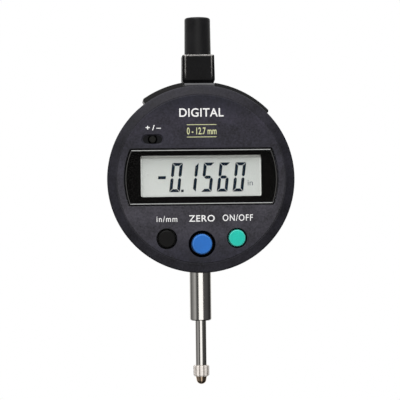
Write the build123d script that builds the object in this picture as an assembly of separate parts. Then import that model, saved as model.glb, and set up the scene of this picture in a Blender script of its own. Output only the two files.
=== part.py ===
from build123d import *
import os
from math import sin, cos, radians, sqrt, tan

# Digital dial indicator, in millimetres. +Z runs up the spindle, the face looks along -Y and
# +X is to the right of someone reading it. The part's origin is on the stem's axis, half way
# along its clamping length. Every height below is measured from the centre of the round
# dial, and save() lifts each piece by DIAL_HEIGHT to the part's own frame.

# Round case
DIAL_R = 33.7
FACE_Y = -15.0
PLATE_BACK_Y = -12.5
SEAM_Y = -7.0
BACK_Y = 6.0
BACK_WALL_Y = 4.4
COVER_INNER_R = 31.5
CASE_R = 33.2
CASE_INNER_R = 31.0
BEVEL_R = 30.2
PLATE_BOSS_R = 2.4
BOARD_BOSS_R = 1.7
CASE_BOSS_R = 2.6
GASKET_R = (31.6, 32.4)
GASKET_THICKNESS = 0.8
PAD_HALF_WIDTH = 5.4
PAD_FRONT_Y = -10.4
PAD_TOP = 34.7
STEM_BOSS_HALF_WIDTH = 6.5
COLLAR_BOSS_HALF_WIDTH = 5.2
BOSS_BACK_Y = 5.5

# Stem, spindle and contact point
STEM_R = 4.0
STEM_LENGTH = 17.8
STEM_ROOT_R = 4.75
STEM_ROOT_TOP = -24.5
STEM_BOTTOM = -DIAL_R - STEM_LENGTH
DIAL_HEIGHT = DIAL_R + STEM_LENGTH / 2
SPINDLE_R = 2.0
SPINDLE_TOP = 45.0
SPINDLE_BOTTOM = -68.0
RUNNING_CLEARANCE = 0.03
BUSHING_R = 3.0
BUSHING_BOTTOM_TOP = -41.0
TRAVEL = 12.7
CONTACT_R = 2.95
CONTACT_FACETS = 12
CONTACT_LENGTH = 4.0
NOSE_TOP_R = 2.05
NOSE_TIP_R = 1.72
NOSE_LENGTH = 1.75
TIP_HEIGHT = 1.15
TIP_STUD_R = 0.9
CONTACT_STUD_R = 1.2
CONTACT_STUD_LENGTH = 4.8

# Neck above the case, with its cap
COLLAR_TOP = 45.5
COLLAR_HALF_WIDTH = 5.98
COLLAR_HALF_DEPTH = 5.5
COLLAR_BEVEL = 1.1
COLLAR_EDGE_R = 0.3
COLLAR_TOP_CHAMFER = 0.3
COLLAR_TAPER = 0.96
COLLAR_WAIST = 36.3
COLLAR_FOOT_TOP = 34.8
COLLAR_FOOT_INSET = 0.62
COLLAR_BASE = 32.4
SPIGOT_R = 4.5
SPIGOT_BOTTOM = 30.5
CAP_TOP = 59.3
CAP_SEAT = COLLAR_TOP + 0.05
CAP_BOTTOM_R = 4.85
CAP_TOP_R = 4.7
CAP_SPIGOT_R = 3.6
CAP_SPIGOT_BOTTOM = 42.8
CAP_INNER_R = 2.6
CAP_CEILING = 58.3
CAP_EDGE_R = 0.8

# Window and display
WINDOW_R = 27.85
WINDOW_TOP = 11.2
WINDOW_BOTTOM = -9.6
WINDOW_CORNER_R = 0.9
LEDGE_CORNER_R = 0.4
WINDOW_LEDGE = 1.2
WINDOW_LEDGE_Y = -13.2
LENS_GAP = 0.35
LENS_FRONT_Y = -14.8
MASK_FRONT_Y = -13.5
DISPLAY_Z = 1.15
APERTURE_WIDTH = 43.4
APERTURE_HEIGHT = 14.8
APERTURE_CORNER_R = 0.7
GLASS_WIDTH = 48.0
GLASS_HEIGHT = 18.6
GLASS_FRONT_Y = -12.4
GLASS_BACK_Y = -10.6
BOARD_FRONT_Y = -8.8
BOARD_BACK_Y = -7.8

# Seven-segment digits of the display
DIGIT_HEIGHT = 10.5
DIGIT_WIDTH = 3.85
DIGIT_PITCH = 5.7
DIGIT_BASE_Z = -4.6
FIRST_DIGIT_X = -11.5
SEGMENT = 1.1
SEGMENT_GAP = 0.12
DASH_LENGTH = 2.75
POINT_SIZE = 0.9
SLANT = tan(radians(6.7))
INK = 0.04

# Buttons: across, up, cap radius, recess radius, depth the recess starts at, cap stand-out
BUTTONS = {
    "unit": (-12.6, -21.3, 3.1, 3.85, 0.0, 0.35),
    "zero": (0.0, -23.3, 3.55, 4.95, 0.0, 0.35),
    "power": (12.6, -21.3, 2.95, 3.75, 0.0, 0.35),
    "sign": (-17.3, 14.3, 1.15, 1.65, 0.45, 0.1),
}
BUTTON_GAP = 0.3
BUTTON_FLANGE = 0.8
BUTTON_EDGE_SHARE = 0.12
FLANGE_FRONT_Y = PLATE_BACK_Y + 0.1
FLANGE_BACK_Y = FLANGE_FRONT_Y + 0.8
RECESS_DEPTH = 1.4
RECESS_LIP = 0.15
SIGN_DISH_WIDTH = 8.1
SIGN_DISH_HEIGHT = 3.9
SIGN_DISH_DEPTH = 0.45
SWITCH_HALF = 2.2
SWITCH_FRONT_Y = -10.8
PLUNGER_R = 1.0
PLUNGER_BACK_Y = -10.3
PLUNGER_HOLE_Y = -9.6

# Screws
CASE_SCREW_CIRCLE = 28.3
CASE_SCREW_ANGLES = (52, 128, 232, 308)
BOARD_POSTS = ((-12.0, 24.0), (12.0, 24.0), (-6.5, -14.5), (6.5, -14.5))
PLATE_SCREW_CIRCLE = 21.0
PLATE_SCREW_ANGLES = (45, 135, 225, 315)

# Back plate with its lug
PLATE_R = 25.0
PLATE_BACK = 8.0
LUG_HALF_WIDTH = 2.5
LUG_HOLE_Y = 16.0
LUG_HOLE_R = 3.25
LUG_END_R = 7.5
LUG_ROOT_HALF_HEIGHT = 12.0

# Battery drawer on the left shoulder, and connector cover on the right one
DRAWER_ANGLE = -23.5
CELL_R = 5.8
CELL_CENTRE_R = 24.0
CELL_FRONT_Y = -5.4
TRAY_R = 6.3
TRAY_FRONT_Y = -5.8
TRAY_BACK_Y = 0.5
OPENING_GAP = 0.15
DRAWER_COVER_R = 35.7
DRAWER_COVER_SPAN = (-35.4, -8.0)
SOCKET_ANGLE = 28.5
SOCKET_HALF_WIDTH = 5.0
SOCKET_Y = (-3.2, 2.2)
SOCKET_COVER_R = 35.5
SOCKET_COVER_SPAN = (8.0, 46.0)
SHOULDER_NECK_X = 5.8
SHOULDER_END_R = 0.8
SHOULDER_INNER_R = 33.35
SHOULDER_Y = (-6.6, 5.6)

# Measuring mechanism inside
SCALE_HALF_WIDTH = 4.5
SCALE_Y = (-4.6, -3.6)
SCALE_Z = (-24.0, 2.5)
BRACKET_HALF_WIDTH = 4.2
BRACKET_BACK_Y = 2.5
BRACKET_Z = (-22.0, -12.0)
DETECTOR_HALF_WIDTH = 9.0
DETECTOR_HALF_HEIGHT = 14.0
DETECTOR_Y = (-5.9, -4.9)
DETECTOR_POSTS = ((-7.5, -12.0), (7.5, -12.0), (-7.5, 12.0), (7.5, 12.0))
GUIDE_PIN_R = 0.6
GUIDE_PIN_Z = -17.0
GUIDE_PIN_END_Y = 4.0
GUIDE_SLOT_GAP = 0.08
RAIL_HALF_WIDTH = 3.5
RAIL_FRONT_Y = 2.9
RAIL_Z = (-21.9, -0.5)
RAIL_SCREWS_Z = (-20.3, -1.8)
SPRING_R = 2.4
SPRING_WIRE_R = 0.17
SPRING_TURNS = 13
SPRING_Z = (-10.8, 30.3)


def save(name, shape):
    """Write one piece, lifted from the dial's centre to the part's origin."""
    export_step(Pos(0, 0, DIAL_HEIGHT) * shape, f"parts/{name}.step")


def block(x0, x1, y0, y1, z0, z1):
    """Rectangular block between two corners."""
    middle = Pos((x0 + x1) / 2, (y0 + y1) / 2, (z0 + z1) / 2)
    return middle * Box(x1 - x0, y1 - y0, z1 - z0)


def rod_z(radius, z0, z1):
    """Upright rod on the spindle's axis."""
    return Pos(0, 0, (z0 + z1) / 2) * Cylinder(radius, z1 - z0)


def rod_y(radius, y0, y1, x=0.0, z=0.0):
    """Rod that runs front to back."""
    return Pos(x, (y0 + y1) / 2, z) * Rot(90, 0, 0) * Cylinder(radius, y1 - y0)


def tube_y(outer, inner, y0, y1, x=0.0, z=0.0):
    """Tube that runs front to back."""
    return rod_y(outer, y0, y1, x, z) - rod_y(inner, y0, y1, x, z)


def turned_z(*points):
    """Solid turned about the spindle's axis from (radius, height) points."""
    profile = make_face(Polyline(*[(r, 0, z) for r, z in points], close=True))
    return revolve(profile, Axis.Z)


def turned_y(*points, x=0.0, z=0.0):
    """Solid turned about a front-to-back axis from (radius, depth) points."""
    profile = make_face(Polyline(*[(r, y, 0) for r, y in points], close=True))
    return Pos(x, 0, z) * revolve(profile, Axis.Y)


def sheet(outline, y0, y1):
    """Flat outline drawn in X and Z, with its thickness along Y."""
    return extrude(Plane.XZ.offset(-y1) * outline, y1 - y0)


def polar(radius, degrees):
    """X and Z of a point on a circle round the dial, clockwise from the top."""
    return radius * sin(radians(degrees)), radius * cos(radians(degrees))


def arc_band(inner, outer, start, end):
    """Part of a ring between two angles clockwise from the top."""
    middle = (start + end) / 2
    outer_arc = ThreePointArc(polar(outer, start), polar(outer, middle), polar(outer, end))
    inner_arc = ThreePointArc(polar(inner, end), polar(inner, middle), polar(inner, start))
    ends = Line(polar(outer, end), polar(inner, end)) + Line(polar(inner, start), polar(outer, start))
    return make_face(outer_arc + inner_arc + ends)


def outward(degrees, shape):
    """Turn a piece that was drawn pointing up so that it points out at an angle."""
    return Rot(0, degrees, 0) * shape


def screw_y(head_r, head_y, neck_y, shank_r, tip_y, x, z):
    """Cross-head screw that goes in from the back."""
    body = rod_y(head_r, neck_y, head_y, x, z) + rod_y(shank_r, tip_y, neck_y, x, z)
    slot_depth = (head_y - neck_y) / 2
    arm = head_r * 0.65
    for half_x, half_z in ((arm, 0.18), (0.18, arm)):
        body -= block(x - half_x, x + half_x, head_y - slot_depth, head_y, z - half_z, z + half_z)
    return body


def window_outline(inset):
    """Window with straight top and bottom and sides that follow the dial."""
    radius = WINDOW_R - inset
    top = WINDOW_TOP - inset
    bottom = WINDOW_BOTTOM + inset
    top_x = sqrt(radius**2 - top**2)
    bottom_x = sqrt(radius**2 - bottom**2)
    edges = Line((-top_x, top), (top_x, top))
    edges += ThreePointArc((top_x, top), (radius, 0), (bottom_x, bottom))
    edges += Line((bottom_x, bottom), (-bottom_x, bottom))
    edges += ThreePointArc((-bottom_x, bottom), (-radius, 0), (-top_x, top))
    outline = make_face(edges)
    return fillet(outline.vertices(), max(WINDOW_CORNER_R - inset, LEDGE_CORNER_R))


def front_cover():
    shell = turned_y(
        (0, FACE_Y),
        (BEVEL_R - 0.2, FACE_Y),
        (BEVEL_R, FACE_Y + 0.22),
        (BEVEL_R + 0.35, FACE_Y + 0.22),
        (DIAL_R - 0.5, FACE_Y + 1.0),
        (DIAL_R - 0.15, FACE_Y + 1.25),
        (DIAL_R, FACE_Y + 1.65),
        (DIAL_R, SEAM_Y),
        (COVER_INNER_R, SEAM_Y),
        (COVER_INNER_R, PLATE_BACK_Y),
        (0, PLATE_BACK_Y),
    )
    pad = block(-PAD_HALF_WIDTH, PAD_HALF_WIDTH, PAD_FRONT_Y, SEAM_Y, COVER_INNER_R + 0.3, PAD_TOP)
    shell += chamfer(pad.edges().filter_by(Axis.X).group_by(Axis.Z)[-1].sort_by(Axis.Y)[0], 0.6)
    for degrees in CASE_SCREW_ANGLES:
        x, z = polar(CASE_SCREW_CIRCLE, degrees)
        shell += rod_y(PLATE_BOSS_R, PLATE_BACK_Y, SEAM_Y, x, z)
        shell -= rod_y(1.0, -12.0, SEAM_Y, x, z)
    for x, z in BOARD_POSTS:
        shell += rod_y(BOARD_BOSS_R, PLATE_BACK_Y, BOARD_FRONT_Y, x, z)
        shell -= rod_y(0.6, -12.0, BOARD_FRONT_Y, x, z)
    shell -= sheet(window_outline(0), FACE_Y, WINDOW_LEDGE_Y)
    shell -= sheet(window_outline(WINDOW_LEDGE), WINDOW_LEDGE_Y, PLATE_BACK_Y)
    sign_x, sign_z = BUTTONS["sign"][:2]
    slot = SlotOverall(SIGN_DISH_WIDTH, SIGN_DISH_HEIGHT)
    dish = Plane.XZ.offset(-FACE_Y) * Pos(sign_x, sign_z) * slot
    shell -= extrude(dish, -SIGN_DISH_DEPTH, taper=45)
    for button_name in BUTTONS:
        shell -= button_recess(button_name)
    return shell


def button_recess(name):
    """Hole for a button, with a wider recess and a small lip in front of it."""
    x, z, cap_r, recess_r, start, _ = BUTTONS[name]
    top_y = FACE_Y + start
    floor_y = FACE_Y + RECESS_DEPTH
    recess = turned_y(
        (0, top_y),
        (recess_r, top_y),
        (recess_r - RECESS_LIP, top_y + RECESS_LIP),
        (recess_r - RECESS_LIP, floor_y),
        (0, floor_y),
        x=x,
        z=z,
    )
    return recess + rod_y(cap_r + BUTTON_GAP, top_y, PLATE_BACK_Y, x, z)


def tray_outline(grow):
    """Round-ended outline of the battery tray, drawn pointing up."""
    radius = TRAY_R + grow
    straight = Pos(0, CELL_CENTRE_R + 5.3) * Rectangle(2 * radius, 10.6)
    return Pos(0, CELL_CENTRE_R) * Circle(radius) + straight


def rear_case():
    shell = turned_y(
        (CASE_INNER_R, SEAM_Y),
        (CASE_R, SEAM_Y),
        (CASE_R, BACK_Y - 1.0),
        (CASE_R - 0.3, BACK_Y - 0.3),
        (CASE_R - 1.0, BACK_Y),
        (0, BACK_Y),
        (0, BACK_WALL_Y),
        (CASE_INNER_R, BACK_WALL_Y),
    )
    half = STEM_BOSS_HALF_WIDTH
    shell += block(-half, half, SEAM_Y, BOSS_BACK_Y, -32.0, STEM_ROOT_TOP - 0.5)
    half = COLLAR_BOSS_HALF_WIDTH
    shell += block(-half, half, SEAM_Y, BOSS_BACK_Y, SPIGOT_BOTTOM - 0.3, 32.0)
    for degrees in CASE_SCREW_ANGLES:
        x, z = polar(CASE_SCREW_CIRCLE, degrees)
        shell += rod_y(CASE_BOSS_R, SEAM_Y, BOSS_BACK_Y, x, z)
        shell -= rod_y(1.1, SEAM_Y, BACK_Y, x, z)
        shell -= rod_y(2.05, BACK_WALL_Y, BACK_Y, x, z)
    for degrees in PLATE_SCREW_ANGLES:
        x, z = polar(PLATE_SCREW_CIRCLE, degrees)
        shell += rod_y(2.0, 2.4, BACK_WALL_Y + 0.2, x, z)
        shell -= rod_y(0.9, 2.4, BACK_Y, x, z)
    for z in RAIL_SCREWS_Z:
        shell -= rod_y(0.6, BACK_WALL_Y, 5.4, 0, z)
    shell -= rod_z(STEM_ROOT_R, -34.0, STEM_ROOT_TOP)
    shell -= rod_z(SPIGOT_R, SPIGOT_BOTTOM - 0.5, 34.0)
    shell -= cover_gasket()
    tray_gap = sheet(tray_outline(OPENING_GAP), TRAY_FRONT_Y - OPENING_GAP, TRAY_BACK_Y + OPENING_GAP)
    shell -= outward(DRAWER_ANGLE, tray_gap)
    half = SOCKET_HALF_WIDTH + OPENING_GAP
    socket_gap = block(-half, half, SOCKET_Y[0] - OPENING_GAP, SOCKET_Y[1] + OPENING_GAP, 28.0, 34.0)
    shell -= outward(SOCKET_ANGLE, socket_gap)
    return shell


def cover_gasket():
    inner, outer = GASKET_R
    return tube_y(outer, inner, SEAM_Y, SEAM_Y + GASKET_THICKNESS)


def case_screws():
    screws = []
    for degrees in CASE_SCREW_ANGLES:
        x, z = polar(CASE_SCREW_CIRCLE, degrees)
        screws.append(screw_y(1.95, 5.8, BACK_WALL_Y, 1.0, -11.6, x, z))
    return Compound(screws)


def lug_outline():
    """Lug seen from the side: a broad root that narrows to a round end."""
    end = Pos(LUG_HOLE_Y, 0) * Circle(LUG_END_R)
    root = Line((PLATE_BACK - 0.5, -LUG_ROOT_HALF_HEIGHT), (PLATE_BACK - 0.5, LUG_ROOT_HALF_HEIGHT))
    return make_hull(end.edges() + root.edges())


def lug_back_plate():
    plate = turned_y(
        (0, BACK_Y),
        (PLATE_R, BACK_Y),
        (PLATE_R, PLATE_BACK - 0.6),
        (PLATE_R - 0.6, PLATE_BACK),
        (0, PLATE_BACK),
    )
    lug = extrude(Plane.YZ * lug_outline(), LUG_HALF_WIDTH, both=True)
    lug = chamfer(lug.faces().sort_by(Axis.X)[0].edges(), 0.4)
    lug = chamfer(lug.faces().sort_by(Axis.X)[-1].edges(), 0.4)
    plate += lug
    plate -= Pos(0, LUG_HOLE_Y, 0) * Rot(0, 90, 0) * Cylinder(LUG_HOLE_R, 4 * LUG_HALF_WIDTH)
    for degrees in PLATE_SCREW_ANGLES:
        x, z = polar(PLATE_SCREW_CIRCLE, degrees)
        plate -= rod_y(1.1, BACK_Y, PLATE_BACK, x, z)
        plate -= turned_y(
            (0, PLATE_BACK),
            (1.95, PLATE_BACK),
            (1.1, PLATE_BACK - 0.95),
            (0, PLATE_BACK - 0.95),
            x=x,
            z=z,
        )
    return plate


def back_plate_screws():
    screws = []
    for degrees in PLATE_SCREW_ANGLES:
        x, z = polar(PLATE_SCREW_CIRCLE, degrees)
        screw = turned_y(
            (0, PLATE_BACK - 0.1),
            (1.75, PLATE_BACK - 0.1),
            (0.9, PLATE_BACK - 1.1),
            (0.9, 2.8),
            (0, 2.8),
            x=x,
            z=z,
        )
        for half_x, half_z in ((1.1, 0.18), (0.18, 1.1)):
            screw -= block(x - half_x, x + half_x, PLATE_BACK - 0.6, PLATE_BACK, z - half_z, z + half_z)
        screws.append(screw)
    return Compound(screws)


def window_lens():
    lens = sheet(window_outline(LENS_GAP), LENS_FRONT_Y, MASK_FRONT_Y)
    return chamfer(lens.faces().sort_by(Axis.Y)[0].edges(), 0.22)


def aperture():
    outline = RectangleRounded(APERTURE_WIDTH, APERTURE_HEIGHT, APERTURE_CORNER_R)
    return Pos(0, DISPLAY_Z) * outline


def window_mask():
    return sheet(window_outline(LENS_GAP) - aperture(), MASK_FRONT_Y, WINDOW_LEDGE_Y)


def lcd_frame():
    opening = Rectangle(GLASS_WIDTH + 0.1, GLASS_HEIGHT + 0.1)
    outline = Rectangle(GLASS_WIDTH + 2.6, GLASS_HEIGHT + 2.6) - opening
    return sheet(Pos(0, DISPLAY_Z) * outline, PLATE_BACK_Y, BOARD_FRONT_Y)


def lcd_panel():
    outline = Pos(0, DISPLAY_Z) * Rectangle(GLASS_WIDTH, GLASS_HEIGHT)
    return sheet(outline, GLASS_FRONT_Y, GLASS_BACK_Y)


def segment_outlines():
    """Corner points of the seven segments of one digit, by their usual letters."""
    w, h, t, g = DIGIT_WIDTH, DIGIT_HEIGHT, SEGMENT, SEGMENT_GAP
    mid = h / 2
    bar = t / 2
    return {
        "a": ((g, h), (w - g, h), (w - g - t, h - t), (g + t, h - t)),
        "d": ((g, 0), (w - g, 0), (w - g - t, t), (g + t, t)),
        "g": (
            (g + bar, mid), (g + t, mid + bar), (w - g - t, mid + bar),
            (w - g - bar, mid), (w - g - t, mid - bar), (g + t, mid - bar),
        ),
        "f": ((0, h - g), (t, h - g - t), (t, mid + g + bar), (bar, mid + g), (0, mid + g + bar)),
        "b": ((w, h - g), (w - t, h - g - t), (w - t, mid + g + bar), (w - bar, mid + g), (w, mid + g + bar)),
        "e": ((0, g), (t, g + t), (t, mid - g - bar), (bar, mid - g), (0, mid - g - bar)),
        "c": ((w, g), (w - t, g + t), (w - t, mid - g - bar), (w - bar, mid - g), (w, mid - g - bar)),
    }


def ink(points, x, z):
    """One leaning patch of the display, printed just in front of its glass."""
    leaning = [(x + px + pz * SLANT, z + pz) for px, pz in points]
    return sheet(make_face(Polyline(*leaning, close=True)), GLASS_FRONT_Y - INK, GLASS_FRONT_Y)


def lcd_segments():
    """The reading -0.1560."""
    lit = ("abcdef", "bc", "acdfg", "acdefg", "abcdef")
    outlines = segment_outlines()
    patches = []
    for index, letters in enumerate(lit):
        for letter in letters:
            patches.append(ink(outlines[letter], FIRST_DIGIT_X + index * DIGIT_PITCH, DIGIT_BASE_Z))
    dash = rectangle_corners(DASH_LENGTH, SEGMENT)
    middle_z = DIGIT_BASE_Z + (DIGIT_HEIGHT - SEGMENT) / 2
    patches.append(ink(dash, FIRST_DIGIT_X - 3.95, middle_z))
    point = rectangle_corners(POINT_SIZE, POINT_SIZE)
    patches.append(ink(point, FIRST_DIGIT_X + DIGIT_WIDTH + 0.42, DIGIT_BASE_Z))
    return Compound(patches)


def rectangle_corners(width, height):
    return ((0, 0), (width, 0), (width, height), (0, height))


def zebra_strips():
    strips = []
    for z in (DISPLAY_Z - 8.3, DISPLAY_Z + 8.3):
        strips.append(block(-22.5, 22.5, GLASS_BACK_Y, BOARD_FRONT_Y, z - 0.9, z + 0.9))
    return Compound(strips)


def main_board():
    board = rod_y(30.5, BOARD_FRONT_Y, BOARD_BACK_Y)
    for degrees in CASE_SCREW_ANGLES:
        x, z = polar(CASE_SCREW_CIRCLE, degrees)
        board -= rod_y(2.9, BOARD_FRONT_Y, BOARD_BACK_Y, x, z)
    for x, z in BOARD_POSTS:
        board -= rod_y(0.6, BOARD_FRONT_Y, BOARD_BACK_Y, x, z)
    for x, z in DETECTOR_POSTS:
        board -= rod_y(0.5, BOARD_FRONT_Y, BOARD_BACK_Y, x, z)
    return board


def board_screws():
    screws = [screw_y(1.4, -7.0, BOARD_BACK_Y, 0.6, -11.8, x, z) for x, z in BOARD_POSTS]
    return Compound(screws)


def processor_chip():
    return block(-4.0, 4.0, BOARD_BACK_Y, BOARD_BACK_Y + 1.1, -4.0, 4.0)


def timing_crystal():
    return block(5.0, 8.0, BOARD_BACK_Y, BOARD_BACK_Y + 0.9, -8.0, -6.5)


def capacitors():
    chips = []
    for x in (-20.0, -16.5, 16.5, 20.0):
        for z in (-6.0, -2.0, 2.0):
            chips.append(block(x - 0.8, x + 0.8, BOARD_BACK_Y, BOARD_BACK_Y + 0.8, z - 0.4, z + 0.4))
    return Compound(chips)


def switch_housings():
    housings = []
    half = SWITCH_HALF
    for name in BUTTONS:
        x, z = BUTTONS[name][:2]
        housing = block(x - half, x + half, SWITCH_FRONT_Y, BOARD_FRONT_Y, z - half, z + half)
        housings.append(housing - rod_y(PLUNGER_R + 0.1, SWITCH_FRONT_Y, PLUNGER_HOLE_Y, x, z))
    return Compound(housings)


def detector_board():
    half_x, half_z = DETECTOR_HALF_WIDTH, DETECTOR_HALF_HEIGHT
    board = block(-half_x, half_x, *DETECTOR_Y, -half_z, half_z)
    for x, z in DETECTOR_POSTS:
        board -= rod_y(0.5, *DETECTOR_Y, x, z)
    return board


def detector_spacers():
    spacers = [tube_y(1.3, 0.5, BOARD_BACK_Y, DETECTOR_Y[0], x, z) for x, z in DETECTOR_POSTS]
    return Compound(spacers)


def detector_screws():
    screws = [screw_y(1.1, -4.2, DETECTOR_Y[1], 0.5, BOARD_FRONT_Y, x, z) for x, z in DETECTOR_POSTS]
    return Compound(screws)


def board_link():
    """Pin strip that joins the two circuit boards."""
    return block(-3.0, 3.0, BOARD_BACK_Y, DETECTOR_Y[0], -13.0, -11.0)


def battery_front_contact():
    strip = block(-1.5, 1.5, BOARD_BACK_Y, BOARD_BACK_Y + 0.3, 20.0, 23.0)
    strip += block(-1.5, 1.5, BOARD_BACK_Y, -6.0, 20.0, 20.4)
    strip += block(-1.5, 1.5, -6.25, -6.0, 20.0, 26.0)
    return outward(DRAWER_ANGLE, strip)


def battery_rear_contact():
    strip = block(-1.5, 1.5, BACK_WALL_Y - 0.3, BACK_WALL_Y, 20.0, 28.0)
    strip += block(-1.5, 1.5, 0.75, BACK_WALL_Y, 20.0, 20.4)
    strip += block(-1.5, 1.5, 0.75, 1.0, 20.0, 26.0)
    return outward(DRAWER_ANGLE, strip)


def data_socket():
    half = SOCKET_HALF_WIDTH
    body = block(-half, half, *SOCKET_Y, 24.0, 32.2)
    body -= block(-3.4, 3.4, -1.7, 0.7, 27.5, 33.0)
    return outward(SOCKET_ANGLE, body)


def socket_pins():
    pins = []
    for index in range(5):
        pin = Pos(-2.4 + 1.2 * index, -0.5, 29.25) * Box(0.5, 0.5, 3.5)
        pins.append(outward(SOCKET_ANGLE, pin))
    return Compound(pins)


def stem():
    return turned_z(
        (BUSHING_R, STEM_BOTTOM),
        (STEM_R - 0.35, STEM_BOTTOM),
        (STEM_R, STEM_BOTTOM + 0.35),
        (STEM_R, -DIAL_R),
        (STEM_ROOT_R, -DIAL_R),
        (STEM_ROOT_R, STEM_ROOT_TOP),
        (2.5, STEM_ROOT_TOP),
        (2.5, BUSHING_BOTTOM_TOP),
        (BUSHING_R, BUSHING_BOTTOM_TOP),
    )


def bushing(z0, z1):
    """Plain bearing that guides the spindle, bell-mouthed at both ends."""
    bore = SPINDLE_R + RUNNING_CLEARANCE
    return turned_z(
        (bore + 0.25, z0), (BUSHING_R, z0), (BUSHING_R, z1),
        (bore + 0.25, z1), (bore, z1 - 0.4), (bore, z0 + 0.4),
    )


def bumper_washer():
    return rod_z(3.3, STEM_ROOT_TOP, BRACKET_Z[0] - 0.1) - rod_z(2.3, STEM_ROOT_TOP, BRACKET_Z[0])


def collar_section(inset, z):
    """Bevelled rectangle across the neck at one height."""
    width = 2 * (COLLAR_HALF_WIDTH - inset)
    depth = 2 * (COLLAR_HALF_DEPTH - inset)
    outline = Rectangle(width, depth)
    outline = chamfer(outline.vertices(), COLLAR_BEVEL)
    return Pos(0, 0, z) * fillet(outline.vertices(), COLLAR_EDGE_R)


def upper_collar():
    waist = collar_section(0, COLLAR_WAIST)
    height = COLLAR_TOP - COLLAR_WAIST - COLLAR_TOP_CHAMFER
    neck = extrude(waist, height, taper=COLLAR_TAPER)
    neck += extrude(neck.faces().sort_by(Axis.Z)[-1], COLLAR_TOP_CHAMFER, taper=45)
    neck += loft([collar_section(COLLAR_FOOT_INSET, COLLAR_FOOT_TOP), waist], ruled=True)
    neck += extrude(collar_section(COLLAR_FOOT_INSET, COLLAR_BASE), COLLAR_FOOT_TOP - COLLAR_BASE)
    neck -= rod_y(CASE_R, SEAM_Y, BACK_Y + 1)
    neck += rod_z(SPIGOT_R, SPIGOT_BOTTOM, CASE_R + 0.5)
    neck -= rod_z(BUSHING_R, SPIGOT_BOTTOM, COLLAR_TOP)
    neck -= rod_z(CAP_SPIGOT_R + 0.1, CAP_SPIGOT_BOTTOM - 0.3, COLLAR_TOP)
    return neck


def guide_rail():
    rail = block(-RAIL_HALF_WIDTH, RAIL_HALF_WIDTH, RAIL_FRONT_Y, BACK_WALL_Y, *RAIL_Z)
    half = GUIDE_PIN_R + GUIDE_SLOT_GAP
    slot_bottom = GUIDE_PIN_Z - GUIDE_PIN_R - 0.3
    slot_top = GUIDE_PIN_Z + TRAVEL + GUIDE_PIN_R + 0.3
    rail -= block(-half, half, RAIL_FRONT_Y, BACK_WALL_Y, slot_bottom, slot_top)
    for z in RAIL_SCREWS_Z:
        rail -= rod_y(0.6, RAIL_FRONT_Y, BACK_WALL_Y, 0, z)
        rail -= rod_y(1.15, RAIL_FRONT_Y, RAIL_FRONT_Y + 0.6, 0, z)
    return rail


def guide_rail_screws():
    screws = []
    for z in RAIL_SCREWS_Z:
        head = rod_y(1.1, RAIL_FRONT_Y, RAIL_FRONT_Y + 0.6, 0, z)
        screws.append(head + rod_y(0.6, RAIL_FRONT_Y + 0.6, 5.4, 0, z))
    return Compound(screws)


def spindle():
    rod = turned_z(
        (0, SPINDLE_BOTTOM),
        (SPINDLE_R - 0.15, SPINDLE_BOTTOM),
        (SPINDLE_R, SPINDLE_BOTTOM + 0.15),
        (SPINDLE_R, SPINDLE_TOP - 0.3),
        (SPINDLE_R - 0.3, SPINDLE_TOP),
        (0, SPINDLE_TOP),
    )
    rod -= rod_z(CONTACT_STUD_R, SPINDLE_BOTTOM, SPINDLE_BOTTOM + CONTACT_STUD_LENGTH + 0.2)
    rod -= rod_z(0.9, SPINDLE_TOP - 4.0, SPINDLE_TOP)
    rod -= rod_y(GUIDE_PIN_R, -1.0, SPINDLE_R + 1, 0, GUIDE_PIN_Z)
    return rod


def contact_body():
    bottom = SPINDLE_BOTTOM - CONTACT_LENGTH
    nose_end = bottom - NOSE_LENGTH
    facets = RegularPolygon(CONTACT_R, CONTACT_FACETS, rotation=360 / CONTACT_FACETS / 2)
    head = extrude(Pos(0, 0, bottom) * facets, CONTACT_LENGTH)
    envelope = turned_z(
        (0, bottom), (CONTACT_R - 0.5, bottom), (CONTACT_R, bottom + 0.5),
        (CONTACT_R, SPINDLE_BOTTOM - 0.3), (CONTACT_R - 0.3, SPINDLE_BOTTOM), (0, SPINDLE_BOTTOM),
    )
    nose = turned_z((0, bottom), (NOSE_TOP_R, bottom), (NOSE_TIP_R, nose_end), (0, nose_end))
    body = (head & envelope) + nose
    body += rod_z(CONTACT_STUD_R, SPINDLE_BOTTOM, SPINDLE_BOTTOM + CONTACT_STUD_LENGTH)
    return body - rod_z(TIP_STUD_R, nose_end, nose_end + 1.2)


def carbide_tip():
    nose_end = SPINDLE_BOTTOM - CONTACT_LENGTH - NOSE_LENGTH
    ball_r = (NOSE_TIP_R**2 + TIP_HEIGHT**2) / (2 * TIP_HEIGHT)
    dome = Pos(0, 0, nose_end - TIP_HEIGHT + ball_r) * Sphere(ball_r)
    dome &= rod_z(NOSE_TIP_R, nose_end - TIP_HEIGHT - 0.5, nose_end)
    return dome + rod_z(TIP_STUD_R, nose_end, nose_end + 1.2)


def scale_bracket():
    half = BRACKET_HALF_WIDTH
    body = block(-half, half, SCALE_Y[1], BRACKET_BACK_Y, *BRACKET_Z)
    body -= rod_z(SPINDLE_R, *BRACKET_Z)
    body -= block(1.0, half, -0.3, 0.3, *BRACKET_Z)
    body -= rod_y(GUIDE_PIN_R, 0.0, BRACKET_BACK_Y, 0, GUIDE_PIN_Z)
    body -= rod_y(0.6, SCALE_Y[1], BRACKET_BACK_Y, 3.1, GUIDE_PIN_Z)
    body -= rod_y(1.05, BRACKET_BACK_Y - 0.8, BRACKET_BACK_Y, 3.1, GUIDE_PIN_Z)
    for x, z in scale_screw_places():
        body -= rod_y(0.5, SCALE_Y[1], -2.2, x, z)
    return body


def scale_screw_places():
    return ((-3.1, BRACKET_Z[1] - 1.5), (3.1, BRACKET_Z[0] + 1.5))


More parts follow.
